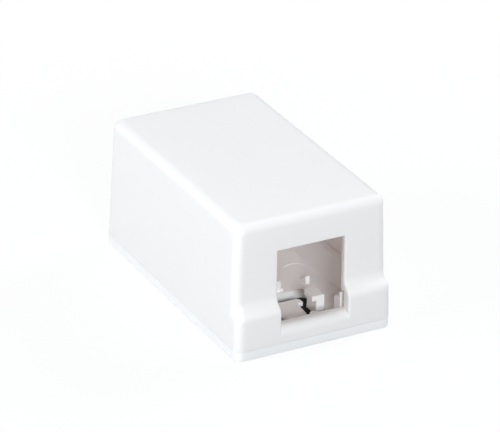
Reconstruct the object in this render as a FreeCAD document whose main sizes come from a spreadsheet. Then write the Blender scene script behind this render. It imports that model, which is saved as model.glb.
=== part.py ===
import FreeCAD, Part
import Sketcher

import os

# Surface mount jack box for one keystone jack: a drafted snap-down cover over a shallow moulded
# base, with a strip of black foam tape under the base.
# Frame: +Z up, -Y the side with the jack opening, origin at the bottom centre. Millimetres.

SIZES = {
    # outside form of the cover, measured at its lower edge
    "width": 34.6,
    "depth": 57.94,
    "height": 28.0,
    "side_draft": 2.03,
    "front_draft": 1.1,
    "back_draft": 1.5,
    "corner_radius": 1.85,
    "top_radius": 1.8,
    # the ledge that thickens the lower front
    "ledge_step": 1.9,
    "ledge_top": 10.2,
    "ledge_draft": 0.5,
    "ledge_root": 6.0,
    "foot_radius": 2.5,
    # cover walls
    "side_wall": 1.95,
    "front_wall": 1.3,
    "back_wall": 1.8,
    "top_wall": 1.5,
    "sill_wall": 2.1,
    # jack opening
    "opening_width": 14.8,
    "opening_height": 16.0,
    "sill_height": 5.4,
    "sill_radius": 1.75,
    "jamb_radius": 0.5,
    # base: flange under the cover, floor and rim inside it
    "base_inset": 0.04,
    "base_corner_radius": 1.85,
    "base_edge_radius": 0.25,
    "flange_top": 2.08,
    "parting_gap": 0.1,
    "floor_top": 2.4,
    "rim_top": 8.85,
    "rim_wall": 1.45,
    "rim_clearance": 0.36,
    "rim_corner_radius": 1.2,
    "rim_edge_radius": 0.15,
    "lip_top": 5.2,
    "lip_wall": 1.05,
    "lip_clearance": 0.1,
    "end_clearance": 0.3,
    # ribs inside the cover that grip the rim and carry the cover
    "grip_width": 1.2,
    "grip_clearance": 0.05,
    "grip_pitch": 17.0,
    "back_grip_offset": 9.0,
    # adhesive pad and its recess
    "pad_thickness": 0.5,
    "pad_margin": 2.9,
    "pad_clearance": 0.3,
    "pad_corner_radius": 2.0,
    # window with the spring tongue, in a floor thinned from below; here and below, what ends in
    # _front or _back lies that far behind the cover's front
    "skin": 0.85,
    "window_width": 15.0,
    "window_front": 11.97,
    "window_back": 17.72,
    "window_radius": 1.5,
    "slot_front": 7.77,
    "tongue_width": 5.9,
    "tongue_front_width": 5.0,
    "head_width": 8.4,
    "head_front": 12.67,
    "head_back": 14.5,
    "head_radius": 1.0,
    # hooks beside the tongue
    "hook_gap": 9.3,
    "hook_wall": 1.75,
    "hook_reach": 1.0,
    "hook_lip": 1.0,
    "hook_top": 5.9,
    "hook_front": 8.02,
    "hook_length": 3.85,
    "hook_radius": 0.6,
    "hook_edge_radius": 0.12,
    # stop tab behind the window
    "tab_width": 4.8,
    "tab_wall": 0.85,
    "tab_top": 4.9,
    "tab_radius": 0.9,
    "tab_foot_width": 5.9,
    "tab_foot_top": 2.95,
    "tab_setback": 0.9,
    # gussets behind the window
    "gusset_centre": 8.75,
    "gusset_wall": 0.9,
    "gusset_height": 1.65,
    "gusset_length": 2.35,
    "gusset_setback": 1.4,
    # rests behind the lip
    "rest_centre": 2.6,
    "rest_width": 1.7,
    "rest_top": 4.0,
    "rest_back": 6.07,
    # guides at each side of the jack
    "guide_wall": 1.35,
    "guide_top": 6.9,
    "guide_length": 2.0,
    "guide_post_top": 8.2,
    "guide_post_wall": 0.35,
    # flat ejector marks in the floor
    "mark_centre": 9.7,
    "mark_back": 25.37,
    "mark_radius": 2.75,
    "mark_depth": 0.05,
    # fixing screws on the centre line
    "screw_front": 23.97,
    "screw_pitch": 22.0,
    "screw_hole": 3.8,
    "screw_head": 7.2,
    "boss_diameter": 9.0,
    "boss_top": 3.4,
    "pad_hole": 5.0,
    # cable entry in the rear
    "entry_width": 7.0,
    "entry_top": 9.0,
    "entry_clearance": 0.4,
}

CLOSE = 0.01  # how near an edge's ends lie to the plane that it is looked up by

doc = FreeCAD.newDocument("jack_box")
sheet = doc.addObject("Spreadsheet::Sheet", "sizes")
for row, (alias, value) in enumerate(SIZES.items(), start=1):
    sheet.set(f"A{row}", alias)
    sheet.set(f"B{row}", str(value))
    sheet.setAlias(f"B{row}", alias)
doc.recompute()


def sized(text):
    """An expression in which each name of a size points at its cell in the sheet."""
    words = []
    word = ""
    for letter in text + " ":
        if letter.isalnum() or letter == "_":
            word += letter
            continue
        words.append("sizes." + word if word in SIZES else word)
        words.append(letter)
        word = ""
    return "".join(words).strip()


def bind(feature, **expressions):
    for name, text in expressions.items():
        feature.setExpression(name, sized(text))


def plane(body, role):
    return next(item for item in body.Origin.OriginFeatures if item.Role == role)


def attach(feature, body, role, x="0", y="0", z="0", turn=None):
    """Attach a feature to an origin plane; x, y and z are measured along that plane's own axes."""
    feature.AttachmentSupport = [(plane(body, role), "")]
    feature.MapMode = "FlatFace"
    if turn is not None:
        feature.AttachmentOffset = FreeCAD.Placement(FreeCAD.Vector(), turn)
    for axis, text in (("x", x), ("y", y), ("z", z)):
        feature.setExpression("AttachmentOffset.Base." + axis, sized(text))


def new_body(name):
    body = doc.addObject("PartDesign::Body", name)
    body.Label = name
    return body


def box(body, name, x, y, z, cut=False):
    """A block between two expressions along each axis."""
    kind = "PartDesign::SubtractiveBox" if cut else "PartDesign::AdditiveBox"
    block = body.newObject(kind, name)
    attach(block, body, "XY_Plane", x[0], y[0], z[0])
    bind(block, Length=f"({x[1]}) - ({x[0]})")
    bind(block, Width=f"({y[1]}) - ({y[0]})")
    bind(block, Height=f"({z[1]}) - ({z[0]})")
    doc.recompute()
    return block


def drafted_block(body, name, z, half_width, front, back, cut=False):
    """A block with flat drafted sides; each pair holds its bottom and its top expression."""
    kind = "PartDesign::SubtractiveWedge" if cut else "PartDesign::AdditiveWedge"
    wedge = body.newObject(kind, name)
    upright = FreeCAD.Rotation(FreeCAD.Vector(1, 0, 0), 90)
    attach(wedge, body, "XY_Plane", turn=upright)
    bind(wedge, Ymin=z[0], Ymax=z[1])
    bind(wedge, Xmin=f"-({half_width[0]})", Xmax=half_width[0])
    bind(wedge, X2min=f"-({half_width[1]})", X2max=half_width[1])
    bind(wedge, Zmin=f"-({back[0]})", Zmax=f"-({front[0]})")
    bind(wedge, Z2min=f"-({back[1]})", Z2max=f"-({front[1]})")
    doc.recompute()
    return wedge


def outline(body, name, role, points, offset="0"):
    """A closed sketch through points given as pairs of expressions in the plane's own axes."""
    sketch = body.newObject("Sketcher::SketchObject", name)
    attach(sketch, body, role, z=offset)
    values = [tuple(evaluate(text) for text in point) for point in points]
    count = len(points)
    for index in range(count):
        start = FreeCAD.Vector(*values[index], 0)
        end = FreeCAD.Vector(*values[(index + 1) % count], 0)
        sketch.addGeometry(Part.LineSegment(start, end), False)
    for index in range(count):
        sketch.addConstraint(Sketcher.Constraint("Coincident", index, 2, (index + 1) % count, 1))
    for index, (across, along) in enumerate(points):
        for kind, text, value in zip(("DistanceX", "DistanceY"), (across, along), values[index]):
            number = sketch.addConstraint(Sketcher.Constraint(kind, -1, 1, index, 1, value))
            sketch.setExpression(f"Constraints[{number}]", sized(text))
    doc.recompute()
    return sketch


def evaluate(text):
    return float(sheet.evalExpression(text))


def pad(body, sketch, length):
    extrusion = body.newObject("PartDesign::Pad", sketch.Name + "_pad")
    extrusion.Profile = sketch
    bind(extrusion, Length=length)
    doc.recompute()
    return extrusion


def pocket(body, sketch, length, reverse=False):
    hollow = body.newObject("PartDesign::Pocket", sketch.Name + "_pocket")
    hollow.Profile = sketch
    hollow.Reversed = reverse
    bind(hollow, Length=length)
    doc.recompute()
    return hollow


def fillet(body, name, radius, chosen):
    """Round the edges of the body's tip for which chosen(edge) is true."""
    base = body.Tip
    edges = base.Shape.Edges
    names = [f"Edge{number}" for number, edge in enumerate(edges, start=1) if chosen(edge)]
    rounding = body.newObject("PartDesign::Fillet", name)
    rounding.Base = (base, names)
    bind(rounding, Radius=radius)
    doc.recompute()
    return rounding


def place(solid, x, y, z, turn=None):
    """Put a free-standing primitive at three expressions, turned about its own origin."""
    if turn is not None:
        solid.Placement = FreeCAD.Placement(FreeCAD.Vector(), turn)
    for axis, text in (("x", x), ("y", y), ("z", z)):
        solid.setExpression("Placement.Base." + axis, sized(text))
    return solid


def block(name, x, y, z):
    """A free-standing block between two expressions along each axis."""
    solid = doc.addObject("Part::Box", name)
    bind(solid, Length=f"({x[1]}) - ({x[0]})")
    bind(solid, Width=f"({y[1]}) - ({y[0]})")
    bind(solid, Height=f"({z[1]}) - ({z[0]})")
    return place(solid, x[0], y[0], z[0])


def rod(name, radius, length, x, y, z, turn=None):
    """A free-standing cylinder that starts at x, y, z and is upright unless it is turned."""
    solid = doc.addObject("Part::Cylinder", name)
    bind(solid, Radius=radius, Height=length)
    return place(solid, x, y, z, turn)


def twin(solid):
    """The same form on the other side of the YZ plane."""
    copy = doc.addObject("Part::Mirroring", solid.Name + "_twin")
    copy.Source = solid
    copy.Normal = FreeCAD.Vector(1, 0, 0)
    return copy


def with_twins(solids):
    return solids + [twin(solid) for solid in solids]


def joined(name, solids):
    union = doc.addObject("Part::MultiFuse", name)
    union.Shapes = solids
    union.Refine = True
    return union


def finish(label, form, added, removed):
    """The finished sub-part: a form with any details added and then its holes cut."""
    whole = joined(label + "_with_details", [form] + added) if added else form
    result = doc.addObject("Part::Cut", label + "_part")
    result.Base = whole
    result.Tool = joined(label + "_holes", removed)
    result.Refine = True
    result.Label = label
    doc.recompute()
    return result


def is_upright(edge):
    """True for a straight edge that runs within a few degrees of vertical."""
    ends = [vertex.Point for vertex in edge.Vertexes]
    if len(ends) < 2 or edge.Curve.TypeId != "Part::GeomLine":
        return False
    run = ends[1] - ends[0]
    return abs(run.z) > 0.99 * run.Length


def lies_at(edge, x=None, y=None, z=None):
    """True when every end of the edge has the given coordinates, or all of them have -x."""
    side = 1 if edge.Vertexes[0].X > 0 else -1
    for vertex in edge.Vertexes:
        for wanted, found in ((x, side * vertex.X), (y, vertex.Y), (z, vertex.Z)):
            if wanted is not None and abs(found - wanted) > CLOSE:
                return False
    return True


# Levels and faces that several features share. Each is an expression in its own brackets.
COVER_BOTTOM = "(flange_top + parting_gap)"
HALF_WIDTH = "(width / 2)"
FRONT = "(-depth / 2)"
BACK = "(depth / 2)"
UPPER_FRONT = f"({FRONT} + ledge_step)"
SILL_INSIDE = f"({FRONT} + sill_wall)"
FRONT_INSIDE = f"({UPPER_FRONT} + front_wall)"
CEILING = "(height - top_wall)"
OPENING_SIDE = "(opening_width / 2)"
OPENING_TOP = "(sill_height + opening_height)"


def side_at(level):
    """Half width of the cover's outside at a height; the next three give its other faces."""
    return f"({HALF_WIDTH} - ({level} - {COVER_BOTTOM}) * tan(side_draft))"


def upper_front_at(level):
    return f"({UPPER_FRONT} + ({level} - {COVER_BOTTOM}) * tan(front_draft))"


def ledge_front_at(level):
    return f"({FRONT} + ({level} - {COVER_BOTTOM}) * tan(ledge_draft))"


def back_at(level):
    return f"({BACK} - ({level} - {COVER_BOTTOM}) * tan(back_draft))"


RIM_SIDE = f"({side_at('rim_top')} - side_wall - rim_clearance)"
RIM_BACK = f"({back_at('rim_top')} - back_wall - rim_clearance)"
FLOOR_SIDE = f"({RIM_SIDE} - rim_wall)"
FLOOR_BACK = f"({RIM_BACK} - rim_wall)"
LIP_FRONT = f"({SILL_INSIDE} + lip_clearance)"
LIP_BACK = f"({LIP_FRONT} + lip_wall)"
RIM_END = f"({FRONT_INSIDE} + end_clearance)"
FLANGE_SIDE = f"({HALF_WIDTH} - base_inset)"
FLANGE_END = f"({BACK} - base_inset)"
PAD_SIDE = f"({FLANGE_SIDE} - pad_margin)"
PAD_END = f"({FLANGE_END} - pad_margin)"
SKIN_BOTTOM = "(floor_top - skin)"
POCKET_TOP = "(rim_top + end_clearance)"
WINDOW_FRONT = f"({FRONT} + window_front)"
WINDOW_BACK = f"({FRONT} + window_back)"
SLOT_FRONT = f"({FRONT} + slot_front)"
HEAD_FRONT = f"({FRONT} + head_front)"
HEAD_BACK = f"({FRONT} + head_back)"
HOOK_FRONT = f"({FRONT} + hook_front)"
REST_BACK = f"({FRONT} + rest_back)"
MARK_BACK = f"({FRONT} + mark_back)"
ROOT = "(floor_top - skin / 2)"  # the depth to which what stands on the floor is rooted in it
SCREWS = (
    ("front", f"({FRONT} + screw_front)"),
    ("rear", f"({FRONT} + screw_front + screw_pitch)"),
)


def across(half):
    """Both ends of a span that is centred on the YZ plane."""
    return (f"-{half}", half)


def spread(centre, size):
    """Both ends of a span of a given size about a centre."""
    return (f"({centre} - {size} / 2)", f"({centre} + {size} / 2)")


def build_ledge():
    """The lower block, whose rounded top front edge makes the ledge."""
    ledge = new_body("ledge_form")
    ledge_end = f"({FRONT} + ledge_root)"
    drafted_block(
        ledge,
        "ledge_block",
        z=(COVER_BOTTOM, "ledge_top"),
        half_width=(HALF_WIDTH, side_at("ledge_top")),
        front=(FRONT, ledge_front_at("ledge_top")),
        back=(ledge_end, ledge_end),
    )
    level = evaluate("ledge_top")
    # One radius for its corners and its top, so that it runs out cleanly into the corners above it.
    fillet(
        ledge,
        "ledge_rounding",
        "corner_radius",
        lambda edge: is_upright(edge) or lies_at(edge, z=level),
    )
    return ledge


def build_cover():
    """One moulding: outer form, hollow, jack opening, cable entry and the ribs that grip the rim."""
    cover = new_body("cover_form")
    drafted_block(
        cover,
        "upper_block",
        z=(COVER_BOTTOM, "height"),
        half_width=(HALF_WIDTH, side_at("height")),
        front=(UPPER_FRONT, upper_front_at("height")),
        back=(BACK, back_at("height")),
    )
    top_level = evaluate("height")
    fillet(cover, "upper_corners", "corner_radius", is_upright)
    fillet(cover, "top_rounding", "top_radius", lambda edge: lies_at(edge, z=top_level))
    with_ledge = cover.newObject("PartDesign::Boolean", "with_ledge")
    with_ledge.Type = "Fuse"
    with_ledge.setObjects([build_ledge()])
    doc.recompute()

    drafted_block(
        cover,
        "cavity",
        z=(COVER_BOTTOM, CEILING),
        half_width=(f"({HALF_WIDTH} - side_wall)", f"({side_at(CEILING)} - side_wall)"),
        front=(FRONT_INSIDE, f"({upper_front_at(CEILING)} + front_wall)"),
        back=(f"({BACK} - back_wall)", f"({back_at(CEILING)} - back_wall)"),
        cut=True,
    )
    box(
        cover,
        "lip_pocket",
        x=across(f"({RIM_SIDE} + grip_clearance)"),
        y=(SILL_INSIDE, f"({FRONT_INSIDE} + front_wall)"),
        z=(COVER_BOTTOM, POCKET_TOP),
        cut=True,
    )
    box(
        cover,
        "jack_opening",
        x=across(OPENING_SIDE),
        y=(f"({FRONT} - front_wall)", f"({FRONT_INSIDE} + front_wall)"),
        z=("sill_height", OPENING_TOP),
        cut=True,
    )

    round_opening(cover)
    return finish("cover", cover, with_twins(grips()), cable_entry())


def round_opening(cover):
    """Round the foot of the upper front and, where the ledge thickens it, the opening's edges."""
    side = evaluate(OPENING_SIDE)
    sill = evaluate("sill_height")
    ledge_level = evaluate("ledge_top")
    upper_face = evaluate(upper_front_at("ledge_top"))
    ledge_face = evaluate(ledge_front_at("sill_height"))
    ledge_middle = (upper_face + ledge_face) / 2

    def foot(edge):
        return lies_at(edge, y=upper_face, z=ledge_level)

    def jamb(edge):
        in_ledge = all(sill - CLOSE < vertex.Z < ledge_level + CLOSE for vertex in edge.Vertexes)
        outside = min(vertex.Y for vertex in edge.Vertexes) < ledge_middle
        return in_ledge and outside and lies_at(edge, x=side) and not lies_at(edge, z=sill)

    fillet(cover, "ledge_foot", "foot_radius", foot)
    fillet(cover, "sill_rounding", "sill_radius", lambda edge: lies_at(edge, y=ledge_face, z=sill))
    fillet(cover, "jamb_rounding", "jamb_radius", jamb)


def cable_entry():
    """An arched notch in the lower edge of the back wall."""
    radius = "(entry_width / 2)"
    centre = f"(entry_top - {radius})"
    start = f"({FLOOR_BACK} - back_wall)"
    end = f"({BACK} + back_wall)"
    along_y = FreeCAD.Rotation(FreeCAD.Vector(1, 0, 0), -90)
    notch = block("entry_notch", across(radius), (start, end), ("0", centre))
    arch = rod("entry_arch", radius, f"{end} - {start}", "0", start, centre, along_y)
    return [notch, arch]


def grips():
    """Upright ribs that slide down the outside of the rim and stand on the flange."""
    side = (f"({RIM_SIDE} + grip_clearance)", f"({HALF_WIDTH} - side_wall / 2)")
    back = (f"({RIM_BACK} + grip_clearance)", f"({BACK} - back_wall / 2)")
    levels = ("flange_top", "rim_top")
    ribs = [block("back_grip", spread("back_grip_offset", "grip_width"), back, levels)]
    for row in (-1, 0, 1):
        along = spread(f"({row} * grip_pitch)", "grip_width")
        ribs.append(block(f"side_grip_{row + 2}", side, along, levels))
    return ribs


def build_base():
    """One moulding: flange, rim and floor, with the seat for the jack and the screw bosses."""
    base = new_body("base_form")
    underside = 0.0
    box(base, "flange", across(FLANGE_SIDE), across(FLANGE_END), ("0", "flange_top"))
    fillet(base, "flange_corners", "base_corner_radius", is_upright)
    fillet(base, "flange_rounding", "base_edge_radius", lambda edge: lies_at(edge, z=underside))
    box(base, "rim", across(RIM_SIDE), (LIP_FRONT, RIM_BACK), ("0", "rim_top"))
    rim_side = evaluate(RIM_SIDE)

    fillet(
        base,
        "rim_corners",
        "rim_corner_radius",
        lambda edge: is_upright(edge) and lies_at(edge, x=rim_side),
    )
    box(
        base,
        "tray",
        across(FLOOR_SIDE),
        (LIP_BACK, FLOOR_BACK),
        ("floor_top", "rim_top"),
        cut=True,
    )
    box(
        base,
        "lip_cut",
        across(FLANGE_SIDE),
        (FRONT, RIM_END),
        ("lip_top", "rim_top"),
        cut=True,
    )
    box(
        base,
        "entry_gap",
        across("(entry_width / 2 + entry_clearance)"),
        (f"({FLOOR_BACK} - rim_wall)", f"({RIM_BACK} + rim_clearance)"),
        ("floor_top", "rim_top"),
        cut=True,
    )
    round_rim(base)
    cut_underside(base)
    cut_window(base)
    details = with_twins([hook(), gusset(), *rest(), *guide()])
    bosses, screw_holes = screw_bosses()
    marks = with_twins([ejector_mark()])
    return finish("base", base, details + [stop_tab()] + bosses, screw_holes + marks)


def round_rim(base):
    """Ease the top edges of the rim and of the lip."""
    rim_level = evaluate("rim_top")
    lip_level = evaluate("lip_top")
    lip_back = evaluate(LIP_BACK)
    fillet(base, "rim_rounding", "rim_edge_radius", lambda edge: lies_at(edge, z=rim_level))
    fillet(
        base,
        "lip_rounding",
        "rim_edge_radius",
        lambda edge: lies_at(edge, y=lip_back, z=lip_level),
    )


def cut_underside(base):
    """The recess for the foam tape, and above it the thinner floor that lets the tongue flex."""
    box(
        base,
        "pad_recess",
        across(PAD_SIDE),
        across(PAD_END),
        ("0", "pad_thickness"),
        cut=True,
    )
    box(
        base,
        "thin_floor",
        across("(window_width / 2)"),
        (SLOT_FRONT, WINDOW_BACK),
        ("pad_thickness", SKIN_BOTTOM),
        cut=True,
    )
    pad_side = evaluate(PAD_SIDE)
    pad_end = evaluate(PAD_END)

    def recess_corner(edge):
        at_end = lies_at(edge, y=pad_end) or lies_at(edge, y=-pad_end)
        return is_upright(edge) and at_end and lies_at(edge, x=pad_side)

    fillet(base, "recess_corners", "pad_corner_radius", recess_corner)


def cut_window(base):
    """Cut round the spring tongue, which stays joined to the floor at its front end."""
    stem = "(tongue_width / 2)"
    stem_front = "(tongue_front_width / 2)"
    head = "(head_width / 2)"
    hook = "(hook_gap / 2)"
    side = "(window_width / 2)"
    right = [
        (stem_front, SLOT_FRONT),
        (hook, SLOT_FRONT),
        (hook, WINDOW_FRONT),
        (side, WINDOW_FRONT),
        (side, WINDOW_BACK),
    ]
    inner = [
        (head, HEAD_BACK),
        (head, HEAD_FRONT),
        (stem, HEAD_FRONT),
    ]
    left = [(f"-{x}", y) for x, y in reversed(right)]
    inner_left = [(f"-{x}", y) for x, y in reversed(inner)]
    window = outline(base, "window", "XY_Plane", right + left + inner_left + inner, SKIN_BOTTOM)
    pocket(base, window, "skin", reverse=True)
    window_side = evaluate(side)
    window_back = evaluate(WINDOW_BACK)
    head_side = evaluate(head)
    head_back = evaluate(HEAD_BACK)

    fillet(
        base,
        "window_corners",
        "window_radius",
        lambda edge: is_upright(edge) and lies_at(edge, x=window_side, y=window_back),
    )
    fillet(
        base,
        "head_corners",
        "head_radius",
        lambda edge: is_upright(edge) and lies_at(edge, x=head_side, y=head_back),
    )


def hook():
    """The hook to the right of the tongue, its tip turned towards the middle."""
    inner = "(hook_gap / 2)"
    outer = f"({inner} + hook_wall)"
    tip = f"({inner} - hook_reach)"
    under = "(hook_top - hook_lip)"
    body = new_body("hook")
    profile = outline(
        body,
        "hook_profile",
        "XZ_Plane",
        [
            (inner, ROOT),
            (outer, ROOT),
            (outer, "hook_top"),
            (tip, "hook_top"),
            (tip, under),
            (inner, under),
        ],
        f"-{HOOK_FRONT}",
    )
    extrusion = pad(body, profile, "hook_length")
    extrusion.Reversed = True
    doc.recompute()
    tip_side = evaluate(tip)
    back = evaluate(f"{HOOK_FRONT} + hook_length")
    top = evaluate("hook_top")
    fillet(
        body,
        "hook_nose",
        "hook_radius",
        lambda edge: is_upright(edge) and lies_at(edge, x=tip_side, y=back),
    )
    fillet(body, "hook_rounding", "hook_edge_radius", lambda edge: lies_at(edge, z=top))
    return body


def stop_tab():
    """An upright tab with rounded shoulders, on a wider foot."""
    front = f"({WINDOW_BACK} + tab_setback)"
    foot_side = "(tab_foot_width / 2)"
    side = "(tab_width / 2)"
    body = new_body("stop_tab")
    foot = [(f"-{foot_side}", ROOT), (foot_side, ROOT)]
    right = [(foot_side, "tab_foot_top"), (side, "tab_foot_top"), (side, "tab_top")]
    left = [(f"-{x}", z) for x, z in reversed(right)]
    profile = outline(body, "tab_profile", "XZ_Plane", foot + right + left, f"-{front}")
    extrusion = pad(body, profile, "tab_wall")
    extrusion.Reversed = True
    doc.recompute()
    shoulder = evaluate(side)
    top = evaluate("tab_top")

    fillet(body, "tab_shoulders", "tab_radius", lambda edge: lies_at(edge, x=shoulder, z=top))
    return body


def gusset():
    """A triangular rib whose upright front face stops the jack's housing."""
    front = f"({WINDOW_BACK} + gusset_setback)"
    back = f"({front} + gusset_length)"
    top = "(floor_top + gusset_height)"
    inner = "(gusset_centre - gusset_wall / 2)"
    body = new_body("gusset")
    corners = [(front, ROOT), (back, ROOT), (back, "floor_top"), (front, top)]
    pad(body, outline(body, "gusset_profile", "YZ_Plane", corners, inner), "gusset_wall")
    return body


def rest():
    """A low rest behind the lip, with a round end."""
    end = f"({REST_BACK} - rest_width / 2)"
    start = f"({LIP_BACK} - lip_wall / 2)"
    levels = (ROOT, "rest_top")
    bar = block("rest", spread("rest_centre", "rest_width"), (start, end), levels)
    tip = rod("rest_end", "rest_width / 2", f"rest_top - {ROOT}", "rest_centre", end, ROOT)
    return [bar, tip]


def guide():
    """A round-topped guide with a taller post in front of it, beside the opening."""
    walls = (OPENING_SIDE, f"({OPENING_SIDE} + guide_wall)")
    post_back = f"({RIM_END} + guide_post_wall)"
    radius = "(guide_length / 2)"
    centre = f"({post_back} + {radius})"
    shoulder = f"(guide_top - {radius})"
    length = (post_back, f"({post_back} + guide_length)")
    along_x = FreeCAD.Rotation(FreeCAD.Vector(0, 1, 0), 90)
    return [
        block("guide_post", walls, (RIM_END, post_back), (ROOT, "guide_post_top")),
        block("guide", walls, length, (ROOT, shoulder)),
        rod("guide_crown", radius, "guide_wall", walls[0], centre, shoulder, along_x),
    ]


def screw_bosses():
    """Two bosses on the centre line, and their countersunk holes."""
    bosses = []
    holes = []
    depth = "((screw_head - screw_hole) / 2)"
    for name, y in SCREWS:
        height = f"boss_top - {ROOT}"
        bosses.append(rod(name + "_boss", "boss_diameter / 2", height, "0", y, ROOT))
        holes.append(rod(name + "_screw_hole", "screw_hole / 2", "boss_top", "0", y, "0"))
        sink = doc.addObject("Part::Cone", name + "_countersink")
        bind(sink, Radius1="screw_hole / 2", Radius2="screw_head / 2", Height=depth)
        holes.append(place(sink, "0", y, f"boss_top - {depth}"))
    return bosses, holes


def ejector_mark():
    """The shallow round mark that an ejector pin leaves in the floor."""
    level = "floor_top - mark_depth"
    return rod("mark", "mark_radius", "mark_depth", "mark_centre", MARK_BACK, level)


def build_pad():
    """Foam tape that fills the recess under the base, level with its edge."""
    side = f"({PAD_SIDE} - pad_clearance)"
    end = f"({PAD_END} - pad_clearance)"
    tape = new_body("tape")
    box(tape, "tape_block", across(side), across(end), ("0", "pad_thickness"))
    fillet(tape, "tape_corners", "pad_corner_radius - pad_clearance", is_upright)
    holes = [
        rod(name + "_clearance", "pad_hole / 2", "pad_thickness", "0", y, "0")
        for name, y in SCREWS
    ]
    return finish("adhesive_pad", tape, [], holes)


sub_parts = [build_base(), build_cover(), build_pad()]
doc.recompute()
failed = [item.Name for item in doc.Objects if "Invalid" in item.State or "Error" in item.State]
for part in sub_parts:
    if part.Shape.isNull() or not part.Shape.isValid() or len(part.Shape.Solids) != 1:
        failed.append(part.Label)
if failed:
    raise RuntimeError("These did not build: " + ", ".join(failed))
os.makedirs("parts", exist_ok=True)
for part in sub_parts:
    part.Shape.exportStep(f"parts/{part.Label}.step")
    print(f"{part.Label}: {part.Shape.Volume:.1f} mm3")
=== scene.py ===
import math

import bpy
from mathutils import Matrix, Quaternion, Vector


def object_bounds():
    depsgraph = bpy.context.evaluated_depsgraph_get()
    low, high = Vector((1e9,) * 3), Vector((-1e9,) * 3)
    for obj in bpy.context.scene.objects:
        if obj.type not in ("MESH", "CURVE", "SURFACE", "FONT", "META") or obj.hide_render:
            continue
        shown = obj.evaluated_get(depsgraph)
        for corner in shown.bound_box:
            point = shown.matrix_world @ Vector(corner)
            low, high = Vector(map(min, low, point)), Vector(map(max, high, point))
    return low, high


# Looks of a surface mount jack box: two white mouldings and a strip of black foam tape.
# Metres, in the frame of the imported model: +Z up, -Y the side with the jack opening.

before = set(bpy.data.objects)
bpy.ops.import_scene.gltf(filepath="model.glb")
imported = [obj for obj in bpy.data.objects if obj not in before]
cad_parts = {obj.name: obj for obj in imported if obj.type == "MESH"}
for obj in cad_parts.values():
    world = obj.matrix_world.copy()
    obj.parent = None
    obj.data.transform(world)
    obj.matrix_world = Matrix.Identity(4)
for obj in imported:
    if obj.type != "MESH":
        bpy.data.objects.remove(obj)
cad_low, cad_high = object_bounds()
MM = 0.001

# White ABS: its own colour, and the colour of light that has gone through a wall of it
PLASTIC = Vector((0.972, 0.936, 0.92))
THROUGH_WALL = (0.99, 0.93, 0.9, 1.0)
PLASTIC_IOR = 1.5
PLASTIC_SPECULAR = 0.4
PLASTIC_ROUGHNESS = (0.4, 0.52)

# The share of light that a wall lets through: the cover's walls are thin, while the base stands on
# black foam. The base's colour is also made a shade darker, which is painted shade for the dimmer
# light on its flange by the floor
COVER_GLOW = 0.2
BASE_GLOW = 0.08
BASE_PAINTED_SHADE = 0.99

# The spark-eroded grain of the skin, and the slow sinks where the walls cooled, which also make
# the colour stray a little
GRAIN_SIZE = 0.12 * MM
GRAIN_DEPTH = 0.004 * MM
SINK_SIZE = 9.0 * MM
SINK_DEPTH = 0.02 * MM
SINK_STRAY = 0.005
NOISE_DETAIL = 2.0

# Black foam tape: the colour of the walls of its pores, and a darker one in their hollows, which
# is painted shade
FOAM_PORE_PAINTED_SHADE = (0.016, 0.016, 0.017)
FOAM_HIGH = (0.024, 0.024, 0.026)
FOAM_IOR = 1.45
FOAM_ROUGHNESS = (0.8, 0.95)
PORE_SIZE = 0.25 * MM
PORE_DEPTH = 0.05 * MM

# Light goes to and fro many times inside a white box
WHITE_BOUNCES = 12

# Camera, by where it stands about the box and what it looks at
CAMERA_AZIMUTH = -28.417
CAMERA_ELEVATION = 26.834
CAMERA_ROLL = 1.178
CAMERA_DISTANCE = 0.6966
CAMERA_AIM = Vector((0.73, 0.09, 0.85)) * MM  # from the middle of the box
CAMERA_CLIP = 0.01
LENS = 250.55  # mm
SENSOR = 36.0  # mm

# Lamps, all of one colour: azimuth and elevation in degrees that they shine from, size in metres
# and strength in watts
LAMP_DISTANCE = 0.8
COOL_WHITE = (0.877, 0.947, 0.99)
LAMPS = {
    "front_softbox": (-13, 22, 0.2, 4.15),
    "fill_softbox": (-26, 22, 0.2, 0.85),
    "left_softbox": (-100, 20, 0.5, 5.6),
    "right_softbox": (102, 30, 0.4, 4.3),
    "top_softbox": (0, 82, 0.6, 1.5),
    "back_softbox": (180, 40, 0.6, 0.7),
}

# The floor lies just under the box. It is paper, whose shade for the camera is paler than the one
# that throws light back, mixed with plain white: this much near the box, where its shadow falls,
# and wholly so from the second distance on
FLOOR_RADIUS = 3.0
FLOOR_SIDES = 96
FLOOR_DROP = 0.02 * MM
FLOOR_SEEN = 0.9
FLOOR_LIT = 0.4
FLOOR_WHITE = 0.9
SHADOW_NEAR = 0.06
SHADOW_FAR = 0.14


def nodes_of(owner):
    """The empty node tree of a material or world, ready to be filled."""
    owner.use_nodes = True
    owner.node_tree.nodes.clear()
    return owner.node_tree


def add(tree, kind, **inputs):
    """A node of a kind, with its named sockets set."""
    node = tree.nodes.new(kind)
    for name, value in inputs.items():
        node.inputs[name.replace("_", " ")].default_value = value
    return node


def object_place(tree):
    """Where a point lies in its own object, in metres."""
    return tree.nodes.new("ShaderNodeTexCoord").outputs["Object"]


def noise(tree, where, size):
    """Noise whose features are about the given size in metres."""
    node = add(tree, "ShaderNodeTexNoise", Scale=1.0 / size, Detail=NOISE_DETAIL)
    tree.links.new(where, node.inputs["Vector"])
    return node.outputs["Fac"]


def ranged(tree, value, low, high, start=0.0, end=1.0):
    """A value that goes from start to end, turned into one that goes from low to high."""
    node = tree.nodes.new("ShaderNodeMapRange")
    bounds = {"From Min": start, "From Max": end, "To Min": low, "To Max": high}
    for name, bound in bounds.items():
        node.inputs[name].default_value = bound
    tree.links.new(value, node.inputs["Value"])
    return node.outputs["Result"]


def tinted(tree, factor, first, second):
    """A colour between two others."""
    node = tree.nodes.new("ShaderNodeMix")
    node.data_type = "RGBA"
    node.inputs["A"].default_value = (*first, 1.0)
    node.inputs["B"].default_value = (*second, 1.0)
    tree.links.new(factor, node.inputs["Factor"])
    return node.outputs["Result"]


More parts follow.
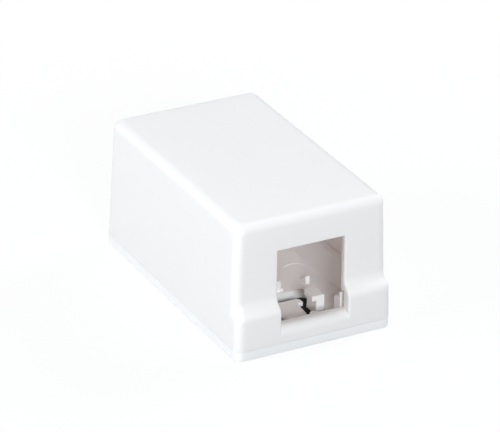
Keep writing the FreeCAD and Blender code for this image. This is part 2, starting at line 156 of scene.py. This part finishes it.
def maths(tree, operation, first, second):
    """Two values put together, kept between 0 and 1."""
    node = tree.nodes.new("ShaderNodeMath")
    node.operation = operation
    node.use_clamp = True
    tree.links.new(first, node.inputs[0])
    tree.links.new(second, node.inputs[1])
    return node.outputs["Value"]


def bump(tree, height, depth, below=None):
    """A normal bent by a height from 0 to 1 that stands for a real depth in metres."""
    node = add(tree, "ShaderNodeBump", Strength=1.0, Distance=depth)
    tree.links.new(height, node.inputs["Height"])
    if below is not None:
        tree.links.new(below, node.inputs["Normal"])
    return node.outputs["Normal"]


def mixed(tree, share, first, second):
    """Two shaders in one, with a share for the second: a number or a node's output."""
    node = tree.nodes.new("ShaderNodeMixShader")
    if isinstance(share, float):
        node.inputs["Fac"].default_value = share
    else:
        tree.links.new(share, node.inputs["Fac"])
    tree.links.new(first, node.inputs[1])
    tree.links.new(second, node.inputs[2])
    return node.outputs["Shader"]


def set_surface(tree, shader, kind="ShaderNodeOutputMaterial"):
    """The shader becomes the surface of the tree's material or world."""
    tree.links.new(shader, tree.nodes.new(kind).inputs["Surface"])


def white_plastic(name, colour, glow):
    """Satin white ABS with a fine grain.

    The glow is the share of light that goes into the wall and comes out on its other side.
    """
    material = bpy.data.materials.new(name)
    tree = nodes_of(material)
    where = object_place(tree)
    grain = noise(tree, where, GRAIN_SIZE)
    sinks = noise(tree, where, SINK_SIZE)
    normal = bump(tree, sinks, SINK_DEPTH)
    normal = bump(tree, grain, GRAIN_DEPTH, normal)
    tint = tinted(tree, sinks, colour * (1.0 - SINK_STRAY), colour * (1.0 + SINK_STRAY))
    skin = add(
        tree, "ShaderNodeBsdfPrincipled", IOR=PLASTIC_IOR, Specular_IOR_Level=PLASTIC_SPECULAR
    )
    tree.links.new(tint, skin.inputs["Base Color"])
    tree.links.new(ranged(tree, grain, *PLASTIC_ROUGHNESS), skin.inputs["Roughness"])
    tree.links.new(normal, skin.inputs["Normal"])
    wall = add(tree, "ShaderNodeBsdfTranslucent", Color=THROUGH_WALL)
    tree.links.new(normal, wall.inputs["Normal"])
    set_surface(tree, mixed(tree, glow, skin.outputs["BSDF"], wall.outputs["BSDF"]))
    return material


def black_foam(name):
    """Closed-cell foam tape: small open pores in a matt black."""
    material = bpy.data.materials.new(name)
    tree = nodes_of(material)
    cells = add(tree, "ShaderNodeTexVoronoi", Scale=1.0 / PORE_SIZE)
    tree.links.new(object_place(tree), cells.inputs["Vector"])
    pores = cells.outputs["Distance"]
    foam = add(tree, "ShaderNodeBsdfPrincipled", IOR=FOAM_IOR)
    # the hollows of the pores take the darker colour, a painted shade
    tree.links.new(tinted(tree, pores, FOAM_PORE_PAINTED_SHADE, FOAM_HIGH), foam.inputs["Base Color"])
    tree.links.new(ranged(tree, pores, *FOAM_ROUGHNESS), foam.inputs["Roughness"])
    tree.links.new(bump(tree, pores, PORE_DEPTH), foam.inputs["Normal"])
    set_surface(tree, foam.outputs["BSDF"])
    return material


def dress():
    """Give every CAD node its material."""
    finishes = {
        # the base's colour carries a painted shade that darkens it a little against the cover
        "base": white_plastic("base_plastic", PLASTIC * BASE_PAINTED_SHADE, BASE_GLOW),
        "cover": white_plastic("cover_plastic", PLASTIC, COVER_GLOW),
        "adhesive_pad": black_foam("black_foam_finish"),
    }
    for name, finish in finishes.items():
        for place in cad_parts[name].material_slots:
            place.material = finish


def direction(azimuth, elevation):
    """The unit vector from the box towards a lamp or camera; azimuth 0 is in front of it."""
    turn = math.radians(azimuth)
    rise = math.radians(elevation)
    flat = math.cos(rise)
    return Vector((math.sin(turn) * flat, -math.cos(turn) * flat, math.sin(rise)))


def place_around(thing, target, azimuth, elevation, distance, roll=0.0):
    """Put a lamp or camera where it looks at the target from a side, rolled by an angle."""
    back = direction(azimuth, elevation)
    thing.location = target + back * distance
    thing.rotation_mode = "QUATERNION"
    thing.rotation_quaternion = (-back).to_track_quat("-Z", "Y") @ Quaternion(
        (0, 0, 1), math.radians(roll)
    )
    bpy.context.scene.collection.objects.link(thing)


def set_camera(middle):
    """A long lens, at the photograph's viewing angle."""
    data = bpy.data.cameras.new("camera")
    data.lens = LENS
    data.sensor_width = SENSOR
    data.clip_start = CAMERA_CLIP
    camera = bpy.data.objects.new("camera", data)
    target = middle + CAMERA_AIM
    place_around(camera, target, CAMERA_AZIMUTH, CAMERA_ELEVATION, CAMERA_DISTANCE, CAMERA_ROLL)
    bpy.context.scene.camera = camera


def set_lamps(middle):
    """Square softboxes around the box."""
    for name, (azimuth, elevation, size, strength) in LAMPS.items():
        data = bpy.data.lights.new(name, "AREA")
        data.shape = "SQUARE"
        data.size = size
        data.energy = strength
        data.color = COOL_WHITE
        lamp = bpy.data.objects.new(name, data)
        place_around(lamp, middle, azimuth, elevation, LAMP_DISTANCE)


def seen(tree):
    """1 for the camera, for mirror images and for sight through glass, 0 for soft light."""
    path = tree.nodes.new("ShaderNodeLightPath")
    total = path.outputs["Is Camera Ray"]
    total = maths(tree, "ADD", total, path.outputs["Is Glossy Ray"])
    total = maths(tree, "ADD", total, path.outputs["Is Transmission Ray"])
    return maths(tree, "SUBTRACT", total, path.outputs["Is Diffuse Ray"])


def set_world():
    """White where it is seen, and no light of its own."""
    world = bpy.data.worlds.new("world")
    bpy.context.scene.world = world
    tree = nodes_of(world)
    white = add(tree, "ShaderNodeBackground", Color=(1, 1, 1, 1))
    tree.links.new(seen(tree), white.inputs["Strength"])
    set_surface(tree, white.outputs["Background"], "ShaderNodeOutputWorld")


def floor_finish(name):
    """Pale paper that is seen as white, with the box's shadow on it."""
    material = bpy.data.materials.new(name)
    tree = nodes_of(material)
    away = tree.nodes.new("ShaderNodeVectorMath")
    away.operation = "LENGTH"
    tree.links.new(object_place(tree), away.inputs[0])
    share = ranged(tree, away.outputs["Value"], FLOOR_WHITE, 1.0, SHADOW_NEAR, SHADOW_FAR)
    paper = tree.nodes.new("ShaderNodeBsdfDiffuse")
    tree.links.new(ranged(tree, seen(tree), FLOOR_LIT, FLOOR_SEEN), paper.inputs["Color"])
    white = add(tree, "ShaderNodeEmission", Strength=1.0)
    share = maths(tree, "MULTIPLY", seen(tree), share)
    set_surface(tree, mixed(tree, share, paper.outputs["BSDF"], white.outputs["Emission"]))
    return material


def set_floor():
    """A disc of paper just under the box, which isn't part of it."""
    bpy.ops.mesh.primitive_circle_add(
        vertices=FLOOR_SIDES,
        radius=FLOOR_RADIUS,
        fill_type="NGON",
        location=(0, 0, cad_low.z - FLOOR_DROP),
    )
    floor = bpy.context.object
    floor.name = "floor"
    floor.data.materials.append(floor_finish("floor_finish"))


middle = (cad_low + cad_high) / 2
dress()
set_camera(middle)
set_lamps(middle)
set_world()
set_floor()
bpy.context.scene.cycles.diffuse_bounces = WHITE_BOUNCES
bpy.context.scene.view_settings.view_transform = "Standard"
